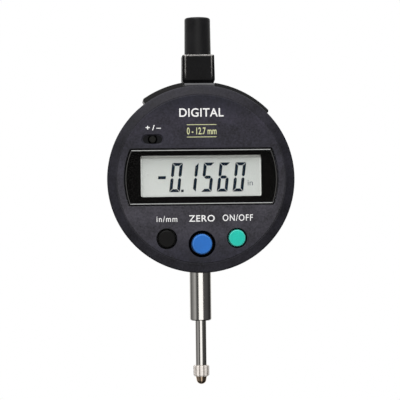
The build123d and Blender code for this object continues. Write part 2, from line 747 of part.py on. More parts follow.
def bracket_clamp_screw():
    head = rod_y(1.0, BRACKET_BACK_Y - 0.8, BRACKET_BACK_Y, 3.1, GUIDE_PIN_Z)
    return head + rod_y(0.6, SCALE_Y[1] + 0.2, BRACKET_BACK_Y - 0.8, 3.1, GUIDE_PIN_Z)


def moving_scale():
    scale = block(-SCALE_HALF_WIDTH, SCALE_HALF_WIDTH, *SCALE_Y, *SCALE_Z)
    for x, z in scale_screw_places():
        scale -= rod_y(0.9, SCALE_Y[0], SCALE_Y[0] + 0.5, x, z)
        scale -= rod_y(0.5, SCALE_Y[0], SCALE_Y[1], x, z)
    return scale


def scale_screws():
    screws = []
    for x, z in scale_screw_places():
        head = rod_y(0.9, SCALE_Y[0], SCALE_Y[0] + 0.5, x, z)
        screws.append(head + rod_y(0.5, SCALE_Y[0] + 0.5, -2.3, x, z))
    return Compound(screws)


def guide_pin():
    return rod_y(GUIDE_PIN_R, -1.0, GUIDE_PIN_END_Y, 0, GUIDE_PIN_Z)


def spring_seat():
    bottom, top = BRACKET_Z[1], BRACKET_Z[1] + 1.0
    return rod_z(2.8, bottom, top) - rod_z(SPINDLE_R, bottom, top)


def return_spring():
    length = SPRING_Z[1] - SPRING_Z[0]
    path = Pos(0, 0, SPRING_Z[0]) * Helix(length / SPRING_TURNS, length, SPRING_R)
    wire = Plane(origin=path @ 0, z_dir=path % 0) * Circle(SPRING_WIRE_R)
    return sweep(wire, path=path, is_frenet=True)


def button(name):
    x, z, cap_r, _, _, proud = BUTTONS[name]
    top_y = FACE_Y - proud
    edge = cap_r * BUTTON_EDGE_SHARE
    return turned_y(
        (0, top_y),
        (cap_r - edge, top_y),
        (cap_r - edge * 0.3, top_y + edge * 0.3),
        (cap_r, top_y + edge),
        (cap_r, FLANGE_FRONT_Y),
        (cap_r + BUTTON_FLANGE, FLANGE_FRONT_Y),
        (cap_r + BUTTON_FLANGE, FLANGE_BACK_Y),
        (0, FLANGE_BACK_Y),
        x=x,
        z=z,
    )


def plunger(name):
    x, z = BUTTONS[name][:2]
    return rod_y(PLUNGER_R, FLANGE_BACK_Y, PLUNGER_BACK_Y, x, z)


def spindle_cap():
    cap = turned_z(
        (0, CAP_TOP),
        (CAP_TOP_R, CAP_TOP),
        (CAP_BOTTOM_R, CAP_SEAT),
        (CAP_SPIGOT_R, CAP_SEAT),
        (CAP_SPIGOT_R, CAP_SPIGOT_BOTTOM),
        (CAP_INNER_R, CAP_SPIGOT_BOTTOM),
        (CAP_INNER_R, CAP_CEILING),
        (0, CAP_CEILING),
    )
    rim = cap.edges().filter_by(GeomType.CIRCLE).sort_by(Axis.Z)[-1]
    return fillet(rim, CAP_EDGE_R)


def shoulder(outer_r, span):
    """Curved cover on the case's rim, square beside the neck and softened at its far end."""
    band = arc_band(SHOULDER_INNER_R, outer_r, *span)
    band -= Rectangle(2 * SHOULDER_NECK_X, 2 * outer_r + 2)
    outer_corners = band.vertices().sort_by_distance((0, 0, 0))[-2:]
    far_corner = outer_corners.sort_by(Axis.Y)[0]
    return sheet(fillet(far_corner, SHOULDER_END_R), *SHOULDER_Y)


def battery_drawer():
    tray = sheet(tray_outline(0), TRAY_FRONT_Y, TRAY_BACK_Y)
    tray -= rod_y(CELL_R + 0.05, TRAY_FRONT_Y, 0, 0, CELL_CENTRE_R)
    tray -= rod_y(2.4, 0, TRAY_BACK_Y, 0, CELL_CENTRE_R)
    return shoulder(DRAWER_COVER_R, DRAWER_COVER_SPAN) + outward(DRAWER_ANGLE, tray)


def battery_cell():
    cell = rod_y(CELL_R, CELL_FRONT_Y + 0.5, 0, 0, CELL_CENTRE_R)
    cell += rod_y(CELL_R - 0.7, CELL_FRONT_Y, CELL_FRONT_Y + 0.5, 0, CELL_CENTRE_R)
    return outward(DRAWER_ANGLE, cell)


def connector_cover():
    plug = block(-3.0, 3.0, -1.3, 0.3, 31.4, 34.2)
    return shoulder(SOCKET_COVER_R, SOCKET_COVER_SPAN) + outward(SOCKET_ANGLE, plug)


os.makedirs("parts", exist_ok=True)

# Round case, its covers and their fasteners
save("front_cover", front_cover())
save("rear_case", rear_case())
save("cover_gasket", cover_gasket())
save("case_screws", case_screws())
save("lug_back_plate", lug_back_plate())
save("back_plate_screws", back_plate_screws())

# Window and display
save("window_lens", window_lens())
save("window_mask", window_mask())
save("lcd_frame", lcd_frame())
save("lcd_panel", lcd_panel())
save("lcd_segments", lcd_segments())
save("zebra_strips", zebra_strips())

# Electronics
save("main_board", main_board())
save("board_screws", board_screws())
save("processor_chip", processor_chip())
save("timing_crystal", timing_crystal())
save("capacitors", capacitors())
save("switch_housings", switch_housings())
save("detector_board", detector_board())
save("detector_spacers", detector_spacers())
save("detector_screws", detector_screws())
save("board_link", board_link())
save("battery_front_contact", battery_front_contact())
save("battery_rear_contact", battery_rear_contact())
save("data_socket", data_socket())
save("socket_pins", socket_pins())

# Stem, neck and guides
save("stem", stem())
save("lower_bushing", bushing(STEM_BOTTOM, BUSHING_BOTTOM_TOP))
save("bumper_washer", bumper_washer())
save("upper_collar", upper_collar())
save("upper_bushing", bushing(SPIGOT_BOTTOM, CAP_SPIGOT_BOTTOM - 0.4))
save("guide_rail", guide_rail())
save("guide_rail_screws", guide_rail_screws())

# Spindle and everything that travels with it
save("spindle", spindle())
save("contact_body", contact_body())
save("carbide_tip", carbide_tip())
save("scale_bracket", scale_bracket())
save("bracket_clamp_screw", bracket_clamp_screw())
save("moving_scale", moving_scale())
save("scale_screws", scale_screws())
save("guide_pin", guide_pin())
save("spring_seat", spring_seat())
save("return_spring", return_spring())

# Buttons with the switch plungers behind them
for button_name in BUTTONS:
    save(f"{button_name}_button", button(button_name))
    save(f"{button_name}_plunger", plunger(button_name))

# Pieces that come off
save("spindle_cap", spindle_cap())
save("battery_drawer", battery_drawer())
save("battery_cell", battery_cell())
save("connector_cover", connector_cover())
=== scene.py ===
import math

import bmesh
import bpy
from mathutils import Matrix, Vector


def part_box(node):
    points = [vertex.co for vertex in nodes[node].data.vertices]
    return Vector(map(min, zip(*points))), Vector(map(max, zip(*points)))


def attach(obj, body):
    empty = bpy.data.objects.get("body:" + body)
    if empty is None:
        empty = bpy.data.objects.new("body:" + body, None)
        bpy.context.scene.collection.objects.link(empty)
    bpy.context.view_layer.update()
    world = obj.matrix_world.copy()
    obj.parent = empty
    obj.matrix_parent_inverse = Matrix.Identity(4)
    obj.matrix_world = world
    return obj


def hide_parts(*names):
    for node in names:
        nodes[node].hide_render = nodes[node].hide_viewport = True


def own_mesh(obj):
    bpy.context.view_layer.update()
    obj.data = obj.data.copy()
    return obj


# Looks of the digital dial indicator, in metres, in the CAD part's own frame: +Z runs up the
# spindle and the face looks along -Y. Places on the dial's face are given across and up from its
# centre, in millimetres.

MM = 0.001

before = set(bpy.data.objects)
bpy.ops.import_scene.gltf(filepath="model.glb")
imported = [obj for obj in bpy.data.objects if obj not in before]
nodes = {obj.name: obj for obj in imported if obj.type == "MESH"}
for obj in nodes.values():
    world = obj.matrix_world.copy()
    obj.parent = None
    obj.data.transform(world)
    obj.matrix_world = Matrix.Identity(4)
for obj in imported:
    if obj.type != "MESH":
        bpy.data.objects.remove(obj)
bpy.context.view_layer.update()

# Places that the pieces below are measured from
cover_low, cover_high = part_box("front_cover")
lens_low, lens_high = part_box("window_lens")
glass_low, glass_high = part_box("lcd_panel")
tip_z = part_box("carbide_tip")[0].z
dial_radius = (cover_high.x - cover_low.x) / 2
dial_z = cover_low.z + dial_radius
face_y = cover_low.y


# ---------------------------------------------------------------- shader nodes

# Most of a noise pattern lies between these
NOISE_LOW, NOISE_HIGH = 0.3, 0.7


def wire(tree, node, values):
    """Set a node's inputs, each to a plain value or to another node's output."""
    for key, value in values.items():
        socket = node.inputs[key]
        if isinstance(value, bpy.types.NodeSocket):
            tree.links.new(value, socket)
        elif socket.type == "RGBA":
            socket.default_value = (*value, 1)
        else:
            socket.default_value = value


def make(tree, kind, values=None):
    """New shader node of one kind, with its inputs set."""
    node = tree.nodes.new("ShaderNode" + kind)
    wire(tree, node, values or {})
    return node


def calculate(tree, operation, *values):
    """Result of one sum on numbers, each either plain or from another node."""
    node = make(tree, "Math")
    node.operation = operation
    wire(tree, node, dict(enumerate(values)))
    return node.outputs[0]


def remap(tree, value, low, high, start=0.0, end=1.0):
    """Number that runs from start to end while a value runs from low to high."""
    scale = make(tree, "MapRange", {
        "Value": value, "From Min": low, "From Max": high, "To Min": start, "To Max": end,
    })
    return scale.outputs[0]


def spread(tree, pattern, start, end):
    """Number that runs from start to end over a noise pattern's usual range."""
    return remap(tree, pattern, NOISE_LOW, NOISE_HIGH, start, end)


def mix_colors(tree, share, first, second, blend="MIX"):
    """First colour blended with a second one."""
    mix = make(tree, "MixRGB", {"Fac": share, "Color1": first, "Color2": second})
    mix.blend_type = blend
    return mix.outputs[0]


def ramp(tree, pattern, dark, light, low=NOISE_LOW, high=NOISE_HIGH):
    """Colour that runs from dark to light as the pattern rises."""
    band = make(tree, "ValToRGB", {0: pattern})
    first, last = band.color_ramp.elements
    first.position, first.color = low, (*dark, 1)
    last.position, last.color = high, (*light, 1)
    return band.outputs[0]


def bands(tree, value, stops):
    """Colour read from a list of (value, colour) stops."""
    low, high = stops[0][0], stops[-1][0]
    strip = make(tree, "ValToRGB", {0: remap(tree, value, low, high)})
    elements = strip.color_ramp.elements
    elements.remove(elements[1])
    elements[0].position = 0.0
    elements[0].color = (*stops[0][1], 1)
    for place, color in stops[1:]:
        stop = elements.new((place - low) / (high - low))
        stop.color = (*color, 1)
    return strip.outputs[0]


def noise(tree, scale, detail=3.0, stretch=(1, 1, 1)):
    """Noise in the object's own space; scale is features per metre."""
    place = make(tree, "TexCoord")
    mapping = make(tree, "Mapping", {0: place.outputs["Object"], "Scale": stretch})
    texture = make(tree, "TexNoise", {
        "Vector": mapping.outputs[0], "Scale": scale, "Detail": detail,
    })
    return texture.outputs["Fac"]


def position(tree):
    """X, Y and Z of a point on the part."""
    place = make(tree, "TexCoord")
    split = make(tree, "SeparateXYZ", {0: place.outputs["Object"]})
    return split.outputs["X"], split.outputs["Y"], split.outputs["Z"]


def bump(tree, shader, pattern, strength, depth):
    """Relief of the surface that follows a pattern."""
    relief = make(tree, "Bump", {"Strength": strength, "Distance": depth, "Height": pattern})
    wire(tree, shader, {"Normal": relief.outputs[0]})


def choose(tree, share, first, second):
    """First shader, or the second one where the share is 1."""
    mix = make(tree, "MixShader", {0: share, 1: first, 2: second})
    return mix.outputs[0]


def scaled(color, factor):
    return tuple(part * factor for part in color)


# ---------------------------------------------------------------- camera, light and surroundings

CAMERA_DISTANCE = 0.6
CAMERA_AZIMUTH = -3.2
CAMERA_ELEVATION = -0.3
CAMERA_ROLL = 0.68
VIEW_HEIGHT = 0.1468
SENSOR = 36.0
AIM = Vector((0.25 * MM, 0.0, dial_z - 7.45 * MM))

SUN_STRENGTH = 2.1
SUN_SPREAD = 50
SUN_AZIMUTH = -16
SUN_ELEVATION = 52

# Brightness of the studio round the object, by angle in degrees from straight in front
PANELS = (
    (-150, 0.7), (-128, 0.10), (-110, 0.11), (-85, 0.21), (-60, 0.36), (-50, 0.17),
    (-40, 0.055), (-24, 0.06), (-19, 1.0), (21, 1.0), (26, 0.075), (37, 0.065), (73, 0.05),
    (90, 0.032), (108, 0.016), (125, 0.05), (150, 0.7),
)
PANEL_TINT = (1.0, 0.98, 0.95)
BEHIND = (0.8, 0.8, 0.8)
CEILING = (0.9, 0.9, 0.9)
STUDIO_STRENGTH = 1.4
# Heights on a unit sphere where the panels start and stop fading, and where the ceiling does
FADE_START, FADE_END, FADED = 0.3, 0.65, 0.12
CEILING_START, CEILING_END = 0.55, 0.85

FLOOR_R = 0.32
FLOOR_DROP = 90 * MM
FLOOR_STEP = 5


def direction(azimuth, elevation):
    """Unit vector from the object to a place round and above it, by angles in degrees."""
    across, up = math.radians(azimuth), math.radians(elevation)
    return Vector((
        math.sin(across) * math.cos(up),
        -math.cos(across) * math.cos(up),
        math.sin(up),
    ))


def add_camera():
    back = direction(CAMERA_AZIMUTH, CAMERA_ELEVATION)
    data = bpy.data.cameras.new("camera")
    data.sensor_width = SENSOR
    data.lens = SENSOR * CAMERA_DISTANCE / VIEW_HEIGHT
    camera = bpy.data.objects.new("camera", data)
    bpy.context.scene.collection.objects.link(camera)
    camera.location = AIM + back * CAMERA_DISTANCE
    turn = (-back).to_track_quat("-Z", "Y").to_matrix().to_4x4()
    roll = Matrix.Rotation(math.radians(-CAMERA_ROLL), 4, "Z")
    camera.matrix_world = Matrix.Translation(camera.location) @ turn @ roll
    bpy.context.scene.camera = camera


def add_world():
    """Studio surround: white to the camera, with the panels and dark gaps that steel mirrors."""
    world = bpy.data.worlds.new("studio")
    bpy.context.scene.world = world
    world.use_nodes = True
    tree = world.node_tree
    tree.nodes.clear()
    place = make(tree, "TexCoord")
    split = make(tree, "SeparateXYZ", {0: place.outputs["Generated"]})
    x, y, z = split.outputs["X"], split.outputs["Y"], split.outputs["Z"]
    angle = calculate(tree, "ARCTAN2", x, calculate(tree, "MULTIPLY", y, -1.0))
    stops = [(-math.pi, BEHIND)]
    for degrees, brightness in PANELS:
        stops.append((math.radians(degrees), scaled(PANEL_TINT, brightness)))
    stops.append((math.pi, BEHIND))
    # The panels fade towards the floor and the ceiling, and a soft light is overhead
    level = calculate(tree, "ABSOLUTE", z)
    fade = remap(tree, level, FADE_START, FADE_END, 1.0, FADED)
    dimmed = make(tree, "VectorMath")
    dimmed.operation = "SCALE"
    wire(tree, dimmed, {0: bands(tree, angle, stops), "Scale": fade})
    ceiling = remap(tree, z, CEILING_START, CEILING_END)
    studio = make(tree, "Background", {
        "Color": mix_colors(tree, ceiling, dimmed.outputs[0], CEILING),
        "Strength": STUDIO_STRENGTH,
    })
    pale = make(tree, "Background", {"Color": (1, 1, 1), "Strength": 1.0})
    path = make(tree, "LightPath")
    seen = choose(tree, path.outputs["Is Camera Ray"], studio.outputs[0], pale.outputs[0])
    make(tree, "OutputWorld", {0: seen})


def add_sun():
    """Broad soft light from above, as from a large panel."""
    data = bpy.data.lights.new("key_light", "SUN")
    data.energy = SUN_STRENGTH
    data.angle = math.radians(SUN_SPREAD)
    light = bpy.data.objects.new("key_light", data)
    bpy.context.scene.collection.objects.link(light)
    back = direction(SUN_AZIMUTH, SUN_ELEVATION)
    light.rotation_mode = "QUATERNION"
    light.rotation_quaternion = (-back).to_track_quat("-Z", "Y")


def link_new(name, mesh):
    piece = bpy.data.objects.new(name, mesh)
    bpy.context.scene.collection.objects.link(piece)
    return piece


def add_floor():
    mesh = bpy.data.meshes.new("floor")
    turns = [math.radians(a) for a in range(0, 360, FLOOR_STEP)]
    level = tip_z - FLOOR_DROP
    edge = [(FLOOR_R * math.cos(a), FLOOR_R * math.sin(a), level) for a in turns]
    mesh.from_pydata(edge, [], [list(range(len(edge)))])
    floor = link_new("floor", mesh)
    floor.data.materials.append(pale_floor())


# ---------------------------------------------------------------- materials

# Tone of the dial's face and of its rim, by height above the centre: painted light and shade,
# paler low on the face and darker on the sloped rim
FACE_LIGHT_AND_SHADE = (
    (-30, (0.34, 0.35, 0.44)),
    (-26, (0.48, 0.49, 0.58)),
    (-20, (0.78, 0.78, 0.80)),
    (-11, (0.90, 0.90, 0.88)),
    (11, (0.52, 0.53, 0.60)),
    (21, (0.61, 0.59, 0.69)),
    (28, (0.31, 0.33, 0.43)),
    (30, (0.31, 0.33, 0.43)),
)
RIM_PAINTED_SHADE = (
    (-35, (0.45, 0.46, 0.48)),
    (-20, (0.32, 0.33, 0.36)),
    (12, (0.30, 0.31, 0.35)),
    (27, (0.405, 0.402, 0.44)),
    (35, (0.405, 0.402, 0.44)),
)
# Distances from the dial's centre where the face turns into the rim, and the rim into the pad
FACE_END, RIM_START = 29.9 * MM, 30.4 * MM
RIM_END, PAD_START = 33.75 * MM, 34.3 * MM
# Painted highlight on the pad at the top of the rim, under the neck
PAD_HIGHLIGHT = (0.10, 0.10, 0.105)

# A painted highlight lightens the neck near the long edges of its front, from its top down to
# above its foot
NECK_EDGE, NECK_EDGE_IN = 5.45 * MM, 5.25 * MM
NECK_HIGHLIGHT_HEIGHT = 9.0 * MM
NECK_HIGHLIGHT_FADE = 2.5 * MM

# Cosine of a rounded edge's turn where the lighter edge starts, and where it is complete; the
# lighter edge is partly rubbed wear and partly a painted highlight
EDGE_LIGHT_START, EDGE_LIGHT_END = 0.995, 0.93

CONTACT_FLATS = 12
NOSE_HEIGHT, NOSE_BLEND = 2.9 * MM, 0.1 * MM
BODY_ROUGHNESS, NOSE_ROUGHNESS = 0.34, 0.14


def start_material(name, color, roughness, metallic=0.0, level=0.5):
    """Material with its shader's plain values set."""
    material = bpy.data.materials.new(name)
    material.use_nodes = True
    tree = material.node_tree
    shader = tree.nodes["Principled BSDF"]
    wire(tree, shader, {
        "Base Color": color,
        "Roughness": roughness,
        "Metallic": metallic,
        "Specular IOR Level": level,
    })
    return material, tree, shader


def show(tree, surface):
    """Make a shader the material's surface."""
    wire(tree, tree.nodes["Material Output"], {"Surface": surface})


def rubbed_and_lit_edges(tree, tone, wear_and_highlight, radius, limit=None):
    """Tone lighter in patches along the sharp edges, where a limit allows it: partly rubbed wear,
    partly a painted edge highlight.
    """
    rounded = make(tree, "Bevel", {"Radius": radius})
    rounded.samples = 6
    flat = make(tree, "NewGeometry")
    turn = make(tree, "VectorMath", {0: rounded.outputs[0], 1: flat.outputs["Normal"]})
    turn.operation = "DOT_PRODUCT"
    edge = remap(tree, turn.outputs["Value"], EDGE_LIGHT_START, EDGE_LIGHT_END)
    patchy = spread(tree, noise(tree, 900.0), 0.55, 1.0)
    share = calculate(tree, "MULTIPLY", edge, patchy)
    if limit:
        share = calculate(tree, "MULTIPLY", share, limit(tree))
    return mix_colors(tree, share, tone, wear_and_highlight)


def moulded_plastic(name, color, roughness, grain=5200.0, level=0.4, relief=0.35, wear_and_highlight=None,
                    edge=0.2, limit=None, contrast=0.15, sheen=0.0, shade=None):
    """Spark-eroded moulding: fine grain, cloudy tone, and edges lighter in patches, partly rubbed
    wear and partly a painted edge highlight.
    """
    material, tree, shader = start_material(name, color, roughness, level=level)
    cloud = noise(tree, 170.0, 4.0)
    fine = noise(tree, grain, 2.0)
    both = calculate(tree, "MULTIPLY_ADD", cloud, 0.5, calculate(tree, "MULTIPLY", fine, 0.5))
    tone = ramp(tree, both, scaled(color, 1 - contrast), scaled(color, 1 + contrast))
    tone = rubbed_and_lit_edges(tree, tone, wear_and_highlight or scaled(color, 2.2), edge * MM, limit)
    if shade:
        tone = shade(tree, tone)
    wire(tree, shader, {
        "Base Color": tone,
        "Roughness": spread(tree, cloud, roughness - 0.05, roughness + 0.06),
        "Sheen Weight": sheen,
    })
    bump(tree, shader, fine, relief, 0.02 * MM)
    return material


def neck_edge_highlight(tree):
    """Share of the painted edge highlight on the neck."""
    x, _, z = position(tree)
    inside = remap(tree, calculate(tree, "ABSOLUTE", x), NECK_EDGE, NECK_EDGE_IN)
    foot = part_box("upper_collar")[1].z - NECK_HIGHLIGHT_HEIGHT
    return calculate(tree, "MULTIPLY", inside, remap(tree, z, foot, foot + NECK_HIGHLIGHT_FADE))


def cover_painted_light(tree, tone):
    """Tone of the dial's front: painted light and shade, paler low on its face and darker on its
    rim, and a painted highlight on its pad.
    """
    x, _, z = position(tree)
    up = calculate(tree, "SUBTRACT", z, dial_z)
    squares = calculate(tree, "MULTIPLY_ADD", up, up, calculate(tree, "MULTIPLY", x, x))
    radius = calculate(tree, "SQRT", squares)
    height = calculate(tree, "MULTIPLY", up, 1 / MM)
    on_rim = remap(tree, radius, FACE_END, RIM_START)
    face, rim = bands(tree, height, FACE_LIGHT_AND_SHADE), bands(tree, height, RIM_PAINTED_SHADE)
    shade = mix_colors(tree, on_rim, face, rim)
    toned = mix_colors(tree, 1.0, tone, shade, "MULTIPLY")
    return mix_colors(tree, remap(tree, radius, RIM_END, PAD_START), toned, PAD_HIGHLIGHT)


def turned_steel(name, color, roughness):
    """Ground round bar: fine rings round the axis, with faint tone changes along it."""
    material, tree, shader = start_material(name, color, roughness, metallic=1.0)
    rings = noise(tree, 9000.0, 2.0, stretch=(0.02, 0.02, 1))
    cloud = noise(tree, 260.0)
    wire(tree, shader, {
        "Base Color": ramp(tree, rings, scaled(color, 0.9), color),
        "Roughness": spread(tree, cloud, roughness - 0.02, roughness + 0.03),
    })
    bump(tree, shader, rings, 0.03, 0.002 * MM)
    return material


def grooved_contact():
    """Bright contact body with a dark line along every edge of its flats, and a browner nose."""
    material, tree, shader = start_material("contact_steel", (0.9, 0.84, 0.79), BODY_ROUGHNESS)
    x, y, z = position(tree)
    around = calculate(tree, "ARCTAN2", x, y)
    wave = calculate(tree, "COSINE", calculate(tree, "MULTIPLY", around, CONTACT_FLATS))
    flats = remap(tree, wave, -1.0, 1.0)
    tone = ramp(tree, flats, (0.16, 0.14, 0.12), (0.93, 0.87, 0.82), 0.04, 0.34)
    scuffs = spread(tree, noise(tree, 1500.0), 0.22, 0.0)
    tone = mix_colors(tree, scuffs, tone, (0.35, 0.31, 0.28))
    nose_top = tip_z + NOSE_HEIGHT
    nose = remap(tree, z, nose_top, nose_top - NOSE_BLEND)
    wire(tree, shader, {
        "Base Color": mix_colors(tree, nose, tone, (0.62, 0.48, 0.36)),
        "Metallic": nose,
        "Roughness": remap(tree, nose, 0.0, 1.0, BODY_ROUGHNESS, NOSE_ROUGHNESS),
    })
    bump(tree, shader, flats, 0.3, 0.05 * MM)
    return material


def pale_floor():
    """White paper that sends little light back up, and that polished steel sees past."""
    material, tree, shader = start_material("pale_floor", (0.9, 0.9, 0.9), 0.9, level=0.0)
    cloud = noise(tree, 14.0)
    wire(tree, shader, {"Base Color": ramp(tree, cloud, (0.88,) * 3, (0.92,) * 3)})
    glow = make(tree, "Emission", {"Color": (1, 1, 1), "Strength": 0.4})
    lit = make(tree, "AddShader", {0: shader.outputs[0], 1: glow.outputs[0]})
    dull = make(tree, "BsdfDiffuse", {"Color": (0.4, 0.4, 0.4)})
    clear = make(tree, "BsdfTransparent")
    path = make(tree, "LightPath")
    mirrored = choose(tree, path.outputs["Is Glossy Ray"], dull.outputs[0], clear.outputs[0])
    show(tree, choose(tree, path.outputs["Is Camera Ray"], mirrored, lit.outputs[0]))
    return material


def clear_window():
    """Flat clear window with a soft sheen, which lets light through to the display behind it."""
    material, tree, shader = start_material("clear_window", (0.98, 0.99, 0.985), 0.0, level=0.02)
    dust = noise(tree, 700.0, 4.0)
    wire(tree, shader, {
        "Base Color": ramp(tree, dust, (0.965, 0.975, 0.97), (0.98, 0.99, 0.985)),
        "Transmission Weight": 1.0,
        "IOR": 1.0,
        "Coat Weight": 0.06,
        "Coat Roughness": 0.3,
    })
    through = make(tree, "BsdfTransparent", {"Color": (0.97, 0.98, 0.975)})
    path = make(tree, "LightPath")
    shadow = path.outputs["Is Shadow Ray"]
    show(tree, choose(tree, shadow, shader.outputs[0], through.outputs[0]))
    return material


def reflective_display():
    """Pale reflector behind liquid crystal: fine speckle, and painted light and shade that make it
    lighter towards its lower edge.
    """
    material, tree, shader = start_material("reflective_display", (0.4, 0.41, 0.4), 0.6, level=0.1)
    speckle = noise(tree, 5200.0, 2.0)
    slow = noise(tree, 45.0, 2.0)
    speck = calculate(tree, "MULTIPLY", speckle, 0.35)
    both = calculate(tree, "MULTIPLY_ADD", slow, 0.65, speck)
    tone = ramp(tree, both, (0.342, 0.353, 0.346), (0.412, 0.423, 0.410))
    # Painted light and shade: the display runs lighter towards its lower edge
    lower = remap(tree, position(tree)[2], glass_high.z, glass_low.z, 0.0, 0.5)
    wire(tree, shader, {"Base Color": mix_colors(tree, lower, tone, (0.50, 0.507, 0.493))})
    bump(tree, shader, speckle, 0.05, 0.01 * MM)
    return material


def printed_ink(name, color, roughness=0.55, level=0.3):
    """Pad-printed ink, a little uneven where it is thin."""
    material, tree, shader = start_material(name, color, roughness, level=level)
    patchy = noise(tree, 2600.0)
    wire(tree, shader, {
        "Base Color": ramp(tree, patchy, scaled(color, 0.86), color, 0.25, 0.5),
        "Roughness": spread(tree, patchy, roughness - 0.1, roughness + 0.1),
    })
    return material


def rubber(name, color):
    """Dull rubber with a little dust on it."""
    material, tree, shader = start_material(name, color, 0.75, level=0.25)
    dust = noise(tree, 900.0, 5.0)
    wire(tree, shader, {"Base Color": ramp(tree, dust, color, scaled(color, 1.5))})
    bump(tree, shader, noise(tree, 6000.0, 2.0), 0.4, 0.02 * MM)
    return material


def cast_metal(name, color, roughness):
    """Machined or plated metal with faint brushing in every direction."""
    material, tree, shader = start_material(name, color, roughness, metallic=1.0)
    fine = noise(tree, 3000.0, 4.0)
    wire(tree, shader, {
        "Base Color": ramp(tree, fine, scaled(color, 0.84), color),
        "Roughness": spread(tree, fine, roughness - 0.06, roughness + 0.08),
    })
    bump(tree, shader, fine, 0.15, 0.01 * MM)
    return material


def circuit_board():
    """Green solder resist over a faint pattern of tracks."""
    material, tree, shader = start_material("circuit_board", (0.02, 0.16, 0.06), 0.4)
    place = make(tree, "TexCoord")
    upright = make(tree, "Mapping", {
        0: place.outputs["Object"], "Rotation": (math.radians(90), 0, 0),
    })
    tracks = make(tree, "TexBrick", {
        "Vector": upright.outputs[0],
        "Scale": 600.0,
        "Color1": (0.015, 0.13, 0.05),
        "Color2": (0.02, 0.19, 0.07),
        "Mortar": (0.04, 0.26, 0.1),
    })
    wire(tree, shader, {"Base Color": tracks.outputs["Color"]})
    bump(tree, shader, tracks.outputs["Fac"], 0.2, 0.02 * MM)
    return material


def etched_glass():
    """Scale of fine etched lines across a glass strip."""
    material, tree, shader = start_material("etched_glass", (0.5, 0.55, 0.58), 0.15)
    place = make(tree, "TexCoord")
    lines = make(tree, "TexWave", {"Vector": place.outputs["Object"], "Scale": 800.0})
    lines.bands_direction = "Z"
    tone = ramp(tree, lines.outputs["Fac"], (0.75, 0.6, 0.3), (0.35, 0.4, 0.42), 0.45, 0.55)
    wire(tree, shader, {"Base Color": tone})
    return material


def visible_looks():
    """Materials of the CAD pieces that show from outside."""
    black = moulded_plastic("case_plastic", (0.007, 0.007, 0.0078), 0.42, level=0.25)
    screws = cast_metal("blackened_screws", (0.16, 0.16, 0.17), 0.34)
    return {
        # The front cover's tone carries painted light and shade by height, and a painted highlight
        # on its pad
        "front_cover": moulded_plastic(
            "cover_plastic", (0.047, 0.0446, 0.0572), 0.5, grain=1700.0, level=0.2, relief=0.6,
            wear_and_highlight=(0.09, 0.09, 0.095), contrast=0.62, shade=cover_painted_light,
        ),
        "rear_case": black,
        "battery_drawer": black,
        "lug_back_plate": moulded_plastic(
            "back_plate_paint", (0.017, 0.017, 0.018), 0.4, grain=3000.0, relief=0.5,
        ),
        # The neck's near-white edge colour is a painted highlight along the long edges of its
        # front
        "upper_collar": moulded_plastic(
            "neck_plastic", (0.0045, 0.0045, 0.0052), 0.4, grain=1700.0, level=0.08,
            wear_and_highlight=(0.95, 0.92, 0.89), edge=0.65, limit=neck_edge_highlight, contrast=0.6, sheen=0.05,
        ),
        "spindle_cap": moulded_plastic(
            "cap_plastic", (0.0055, 0.0055, 0.0063), 0.42, grain=1700.0, level=0.18,
            contrast=0.6, sheen=0.14,
        ),
        "connector_cover": rubber("soft_cover", (0.010, 0.010, 0.011)),
        "window_lens": clear_window(),
        "window_mask": printed_ink("window_print", (0.0035, 0.0030, 0.0030), 0.5, 0.05),
        "lcd_panel": reflective_display(),
        "lcd_segments": printed_ink("display_ink", (0.004, 0.009, 0.018), 0.6, 0.05),
        "stem": turned_steel("ground_steel", (0.78, 0.77, 0.75), 0.12),
        "spindle": turned_steel("spindle_steel", (0.72, 0.71, 0.695), 0.09),
        "contact_body": grooved_contact(),
        "carbide_tip": turned_steel("carbide", (0.66, 0.52, 0.38), 0.14),
        # The buttons' lighter edges are partly rubbed wear and partly a painted edge highlight
        "unit_button": moulded_plastic(
            "button_black", (0.0040, 0.0040, 0.0040), 0.45, level=0.1, wear_and_highlight=(0.02, 0.02, 0.02),
        ),
        "sign_button": moulded_plastic(
            "button_small", (0.011, 0.011, 0.010), 0.5, level=0.1, wear_and_highlight=(0.03, 0.03, 0.03),
            edge=0.1,
        ),
        "zero_button": moulded_plastic(
            "button_blue", (0.02, 0.15, 0.52), 0.5, level=0.2, relief=0.2,
            wear_and_highlight=(0.16, 0.40, 0.85), edge=0.35,
        ),
        "power_button": moulded_plastic(
            "button_green", (0.015, 0.53, 0.42), 0.5, level=0.2, relief=0.2,
            wear_and_highlight=(0.25, 0.8, 0.7), edge=0.35,
        ),
        "case_screws": screws,
        "back_plate_screws": screws,
    }


def inner_looks(screws):
    """Materials of the CAD pieces inside the case, by the names of the pieces that share them."""
    brass = turned_steel("turned_brass", (0.78, 0.6, 0.28), 0.28)
    bright = cast_metal("plated_metal", (0.8, 0.8, 0.78), 0.2)
    seal = rubber("seal_rubber", (0.01, 0.01, 0.01))
    groups = (
        (seal, ("cover_gasket", "bumper_washer", "zebra_strips")),
        (circuit_board(), ("main_board", "detector_board")),
        (etched_glass(), ("moving_scale",)),
        (cast_metal("machined_alloy", (0.72, 0.72, 0.74), 0.35), ("scale_bracket",)),
        (turned_steel("spring_wire", (0.6, 0.6, 0.6), 0.3), ("return_spring",)),
        (printed_ink("ceramic", (0.4, 0.26, 0.13), 0.5), ("capacitors",)),
        (brass, (
            "lower_bushing", "upper_bushing", "spring_seat", "detector_spacers", "socket_pins",
        )),
        (bright, (
            "battery_cell", "battery_front_contact", "battery_rear_contact", "timing_crystal",
            "guide_pin", "guide_rail",
        )),
        (screws, (
            "board_screws", "detector_screws", "guide_rail_screws", "scale_screws",
            "bracket_clamp_screw",
        )),
    )
    return {name: material for material, names in groups for name in names}


